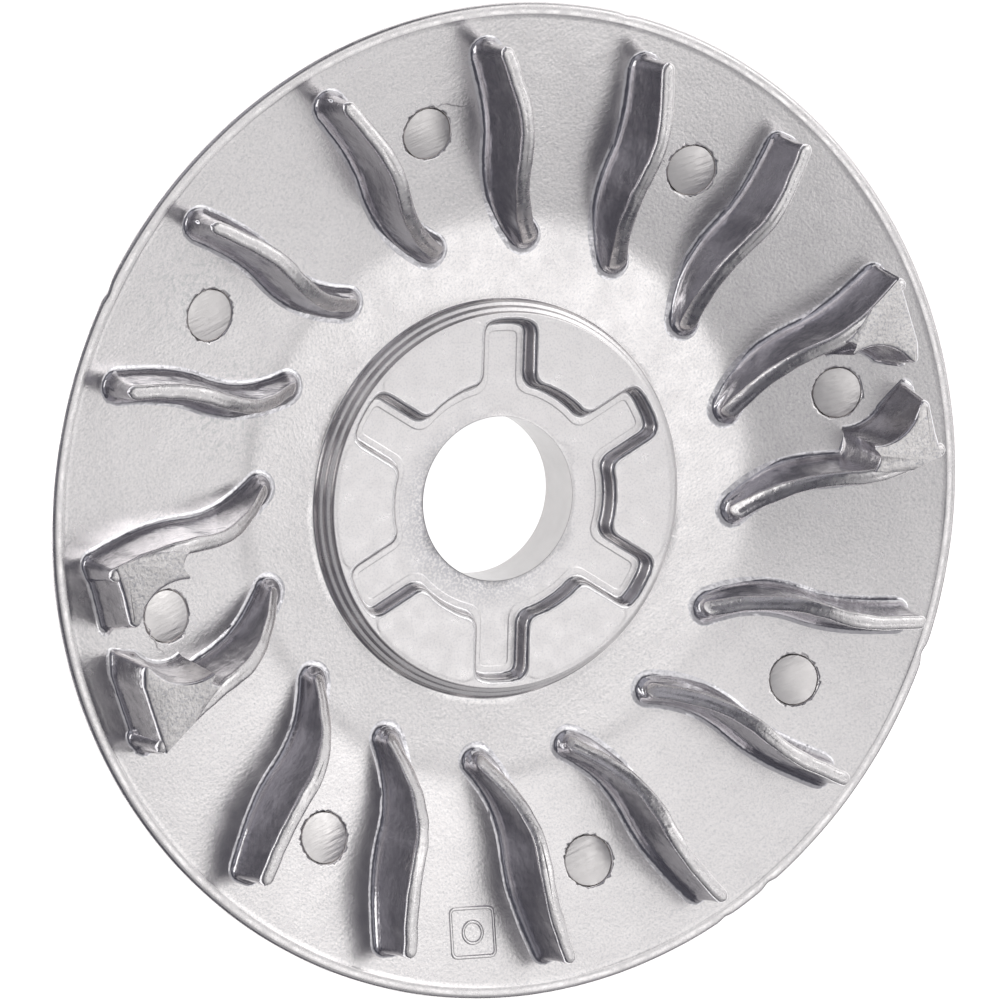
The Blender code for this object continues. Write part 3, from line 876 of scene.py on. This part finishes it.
class Finish:
    """A procedural aluminium finish, built up from small node helpers."""

    def __init__(self, name, colour, roughness):
        self.material = bpy.data.materials.new(name)
        self.material.use_nodes = True
        self.nodes = self.material.node_tree.nodes
        self.links = self.material.node_tree.links
        self.shader = self.nodes["Principled BSDF"]
        self.shader.inputs["Metallic"].default_value = 1.0
        self.place = self.nodes.new("ShaderNodeTexCoord").outputs["Object"]
        self.normal = None
        self.stain_and_shade_layers = []
        self.colour = colour
        self.roughness = roughness

    def noise(self, size, detail=2.0, stretch=None, turn=0.0):
        """Noise whose features are about a size across, stretched along local axes."""
        texture = self.nodes.new("ShaderNodeTexNoise")
        texture.inputs["Scale"].default_value = 1.0 / size
        texture.inputs["Detail"].default_value = detail
        place = self.place
        if stretch:
            mapping = self.nodes.new("ShaderNodeMapping")
            mapping.vector_type = "TEXTURE"
            mapping.inputs["Rotation"].default_value = (0.0, 0.0, math.radians(turn))
            mapping.inputs["Scale"].default_value = stretch
            self.links.new(place, mapping.inputs["Vector"])
            place = mapping.outputs["Vector"]
        self.links.new(place, texture.inputs["Vector"])
        return texture.outputs["Fac"]

    def remap(self, value, low, high, to_low, to_high):
        node = self.nodes.new("ShaderNodeMapRange")
        node.inputs["From Min"].default_value = low
        node.inputs["From Max"].default_value = high
        node.inputs["To Min"].default_value = to_low
        node.inputs["To Max"].default_value = to_high
        self.links.new(value, node.inputs["Value"])
        return node.outputs["Result"]

    def bump(self, height, depth, strength=1.0):
        node = self.nodes.new("ShaderNodeBump")
        node.inputs["Distance"].default_value = depth
        node.inputs["Strength"].default_value = strength
        self.links.new(height, node.inputs["Height"])
        if self.normal:
            self.links.new(self.normal, node.inputs["Normal"])
        self.normal = node.outputs["Normal"]
        self.links.new(self.normal, self.shader.inputs["Normal"])

    def spot(self, bearing, radius_mm, size_mm):
        """1 in the middle of a round patch of the surface, falling to 0 at its edge."""
        flat = bearing_points(radius_mm * MM, bearing)
        away = self.nodes.new("ShaderNodeVectorMath")
        away.operation = "DISTANCE"
        away.inputs[1].default_value = (flat[0], flat[1], FLOOR_HEIGHT)
        self.links.new(self.place, away.inputs[0])
        return self.remap(away.outputs["Value"], 0.5 * size_mm * MM, size_mm * MM, 1.0, 0.0)

    def stain_and_shade(self, mask, grain, cut, tint):
        """Speckles of a tint where the mask is high and noise of a grain passes a cut; used for
        real stains and for painted shade.
        """
        speckle = self.remap(self.noise(grain, 5.0), cut, cut + 0.08, 0.0, 1.0)
        both = self.nodes.new("ShaderNodeMath")
        both.operation = "MULTIPLY"
        self.links.new(mask, both.inputs[0])
        self.links.new(speckle, both.inputs[1])
        self.stain_and_shade_layers.append((both.outputs["Value"], tint))

    def speckle(self, size, amount):
        """Fine darker grain over the whole surface."""
        grain = self.remap(self.noise(size, 2.0), 0.48, 0.72, 0.0, amount)
        self.stain_and_shade_layers.append((grain, GRAIN_AND_SHADE_TINT))

    def finish(self, patch_size, colour_swing, roughness_swing):
        patches = self.noise(patch_size, 4.0)
        mix = self.nodes.new("ShaderNodeMix")
        mix.data_type = "RGBA"
        dark = [channel * (1 - colour_swing) for channel in self.colour]
        light = [min(1.0, channel * (1 + colour_swing * 0.4)) for channel in self.colour]
        mix.inputs["A"].default_value = (*dark, 1.0)
        mix.inputs["B"].default_value = (*light, 1.0)
        self.links.new(self.remap(patches, 0.3, 0.7, 0.0, 1.0), mix.inputs["Factor"])
        colour = mix.outputs["Result"]
        for mask, tint in self.stain_and_shade_layers:
            layer = self.nodes.new("ShaderNodeMix")
            layer.data_type = "RGBA"
            layer.inputs["B"].default_value = (*tint, 1.0)
            self.links.new(mask, layer.inputs["Factor"])
            self.links.new(colour, layer.inputs["A"])
            colour = layer.outputs["Result"]
        self.links.new(colour, self.shader.inputs["Base Color"])
        low = self.roughness - roughness_swing
        high = self.roughness + roughness_swing
        rough = self.remap(self.noise(patch_size * 0.6, 3.0), 0.3, 0.7, low, high)
        self.links.new(rough, self.shader.inputs["Roughness"])
        return self.material


def make_finishes():
    finishes = {}

    web = Finish("cast_skin", BRIGHT, 0.25)
    web.bump(web.noise(6.0 * MM, 2.0), 0.03 * MM)
    web.bump(web.noise(0.36 * MM, 3.0), 0.014 * MM)
    web.bump(web.noise(0.5 * MM, 1.0, (1.0, 10.0, 1.0), 122.0), 0.007 * MM)
    web.stain_and_shade(web.spot(302.0, 47.5, 9.0), 0.7 * MM, 0.52, HAZE_TINT)
    web.stain_and_shade(web.spot(204.0, 55.0, 4.5), 0.6 * MM, 0.48, BURN_TINT)
    web.stain_and_shade(web.spot(289.0, 36.0, 8.0), 0.6 * MM, 0.52, HAZE_TINT)
    web.speckle(0.26 * MM, 0.3)
    finishes["web"] = web.finish(5.0 * MM, 0.02, 0.03)

    hub = Finish("hub_skin", BRIGHT, 0.30)
    hub.bump(hub.noise(0.36 * MM, 3.0), 0.014 * MM)
    # Painted shade: a darker, grainy patch round the lower-left of the bore, where the hub lies in
    # shade
    hub.stain_and_shade(hub.spot(225.0, 2.2, 11.9), 0.3 * MM, 0.44, GRAIN_AND_SHADE_TINT)
    hub.speckle(0.24 * MM, 0.3)
    finishes["hub"] = hub.finish(3.0 * MM, 0.015, 0.03)

    wall = Finish("pocket_wall", (0.88, 0.86, 0.86), 0.2)
    wall.bump(wall.noise(1.0 * MM, 2.0), 0.05 * MM)
    finishes["wall"] = wall.finish(1.5 * MM, 0.1, 0.06)

    rim = Finish("rim_skin", BRIGHT, 0.26)
    rim.bump(rim.noise(0.5 * MM, 2.0), 0.005 * MM)
    rim.speckle(0.35 * MM, 0.2)
    finishes["rim"] = rim.finish(2.0 * MM, 0.08, 0.06)

    # The bore's colour is far darker than the other aluminium: painted shade inside the hole
    bore = Finish("bore_wall", (0.57, 0.555, 0.55), 0.32)
    bore.bump(bore.noise(0.4 * MM, 1.0, (8.0, 8.0, 0.6)), 0.004 * MM)
    finishes["bore"] = bore.finish(2.0 * MM, 0.04, 0.04)

    belt = Finish("belt_face", (0.89, 0.87, 0.86), 0.24)
    belt.bump(turning_marks(belt), 0.004 * MM)
    belt.bump(belt.noise(3.0 * MM, 2.0), 0.01 * MM)
    finishes["belt"] = belt.finish(4.0 * MM, 0.05, 0.05)

    back = Finish("hub_back", (0.89, 0.87, 0.86), 0.28)
    back.bump(turning_marks(back), 0.003 * MM)
    finishes["back"] = back.finish(3.0 * MM, 0.05, 0.05)

    blade = Finish("blade_skin", (0.86, 0.84, 0.86), 0.17)
    blade.bump(blade.noise(3.0 * MM, 2.0), 0.15 * MM)
    blade.bump(blade.noise(0.5 * MM, 3.0), 0.03 * MM)
    blade.speckle(0.3 * MM, 0.35)
    finishes["blade"] = blade.finish(2.0 * MM, 0.08, 0.07)

    crest = Finish("blade_crest", BRIGHT, 0.28)
    crest.bump(crest.noise(1.4 * MM, 3.0), 0.07 * MM)
    crest.bump(crest.noise(0.4 * MM, 4.0), 0.03 * MM)
    crest.speckle(0.3 * MM, 0.2)
    finishes["crest"] = crest.finish(1.5 * MM, 0.08, 0.08)

    side = Finish("lug_side", (0.88, 0.86, 0.87), 0.2)
    side.bump(side.noise(1.6 * MM, 3.0), 0.12 * MM)
    finishes["lug_side"] = side.finish(1.5 * MM, 0.1, 0.08)

    top = Finish("lug_top", (0.88, 0.85, 0.83), 0.4)
    top.bump(top.noise(0.45 * MM, 4.0), 0.09 * MM)
    top.speckle(0.26 * MM, 0.8)
    finishes["lug_top"] = top.finish(1.0 * MM, 0.06, 0.06)

    pad = Finish("pad_face", (0.90, 0.87, 0.85), 0.34)
    pad.bump(pad.noise(0.45 * MM, 2.0, (1.0, 16.0, 1.0), 112.0), 0.05 * MM)
    finishes["pad"] = pad.finish(1.2 * MM, 0.04, 0.05)
    return finishes


def turning_marks(finish):
    """Fine concentric grooves round the axis."""
    wave = finish.nodes.new("ShaderNodeTexWave")
    wave.wave_type = "RINGS"
    wave.rings_direction = "Z"
    wave.inputs["Scale"].default_value = 1.0 / (2.2 * MM)
    wave.inputs["Distortion"].default_value = 0.4
    finish.links.new(finish.place, wave.inputs["Vector"])
    return wave.outputs["Fac"]


# ---------------------------------------------------------------- studio


def make_camera():
    """The camera that was fitted to the photo, given as how the part is tilted before it."""
    along = math.radians(CAMERA_TILT_AXIS)
    axis = Vector((math.cos(along), math.sin(along), 0.0))
    tilt = Matrix.Rotation(math.radians(CAMERA_TILT), 4, axis)
    offset = Matrix.Translation(CAMERA_OFFSET)
    to_floor = Matrix.Translation((0.0, 0.0, -FLOOR_HEIGHT))
    data = bpy.data.cameras.new("camera")
    data.sensor_width = 36.0
    data.lens = CAMERA_LENS
    data.clip_start = 0.05
    data.clip_end = 20.0
    camera = bpy.data.objects.new("camera", data)
    camera.matrix_world = (offset @ tilt @ to_floor).inverted()
    bpy.context.scene.collection.objects.link(camera)
    bpy.context.scene.camera = camera


def make_floor():
    """A pale light table under the part, bright enough to leave no hard shadow."""
    mesh = bpy.data.meshes.new("floor")
    size = 3.0
    corners = [(-size, -size, 0.0), (size, -size, 0.0), (size, size, 0.0), (-size, size, 0.0)]
    mesh.from_pydata(corners, [], [(0, 1, 2, 3)])
    floor = bpy.data.objects.new("floor", mesh)
    floor.location.z = -0.02 * MM
    bpy.context.scene.collection.objects.link(floor)
    material = bpy.data.materials.new("floor")
    material.use_nodes = True
    shader = material.node_tree.nodes["Principled BSDF"]
    shader.inputs["Base Color"].default_value = (0.9, 0.9, 0.9, 1.0)
    shader.inputs["Roughness"].default_value = 0.8
    shader.inputs["Emission Color"].default_value = (1.0, 1.0, 1.0, 1.0)
    shader.inputs["Emission Strength"].default_value = 0.9
    mesh.materials.append(material)


def softbox(name, azimuth, elevation, wide, high, radiance, colour):
    """A soft oval panel in some direction that covers so many degrees each way.

    Azimuth runs clockwise from +Y as seen from above.
    """
    width = 2 * SOFTBOX_DISTANCE * math.tan(math.radians(wide / 2))
    height = 2 * SOFTBOX_DISTANCE * math.tan(math.radians(high / 2))
    data = bpy.data.lights.new(name, "AREA")
    data.shape = "ELLIPSE"
    data.size = width
    data.size_y = height
    data.color = colour
    data.energy = radiance * math.pi * math.pi / 4 * width * height
    light = bpy.data.objects.new(name, data)
    light.visible_camera = False
    flat = math.cos(math.radians(elevation))
    out = Vector((*(flat * bearing_points(1.0, azimuth)), math.sin(math.radians(elevation))))
    light.location = out * SOFTBOX_DISTANCE
    light.rotation_euler = out.to_track_quat("Z", "Y").to_euler()
    bpy.context.scene.collection.objects.link(light)


def make_lights():
    world = bpy.data.worlds.new("studio")
    bpy.context.scene.world = world
    world.use_nodes = True
    background = world.node_tree.nodes["Background"]
    background.inputs["Color"].default_value = (0.82, 0.82, 1.0, 1.0)
    background.inputs["Strength"].default_value = 0.09
    for panel in PANELS:
        softbox(*panel)


finishes = make_finishes()
body = make_body(finishes)
make_pads(body, finishes)
for number in range(1, BLADE_COUNT + 1):
    make_blade(number, finishes)
for half_turn in (0, 1):
    make_lug(1 + 2 * half_turn, leading_loop, half_turn, finishes)
    make_lug(2 + 2 * half_turn, trailing_loop, half_turn, finishes)
make_mark(finishes)
for name, start, end in FLASHES:
    make_flash(name, start, end, finishes["web"])
make_floor()
make_lights()
make_camera()
bpy.context.scene.view_settings.view_transform = "Standard"
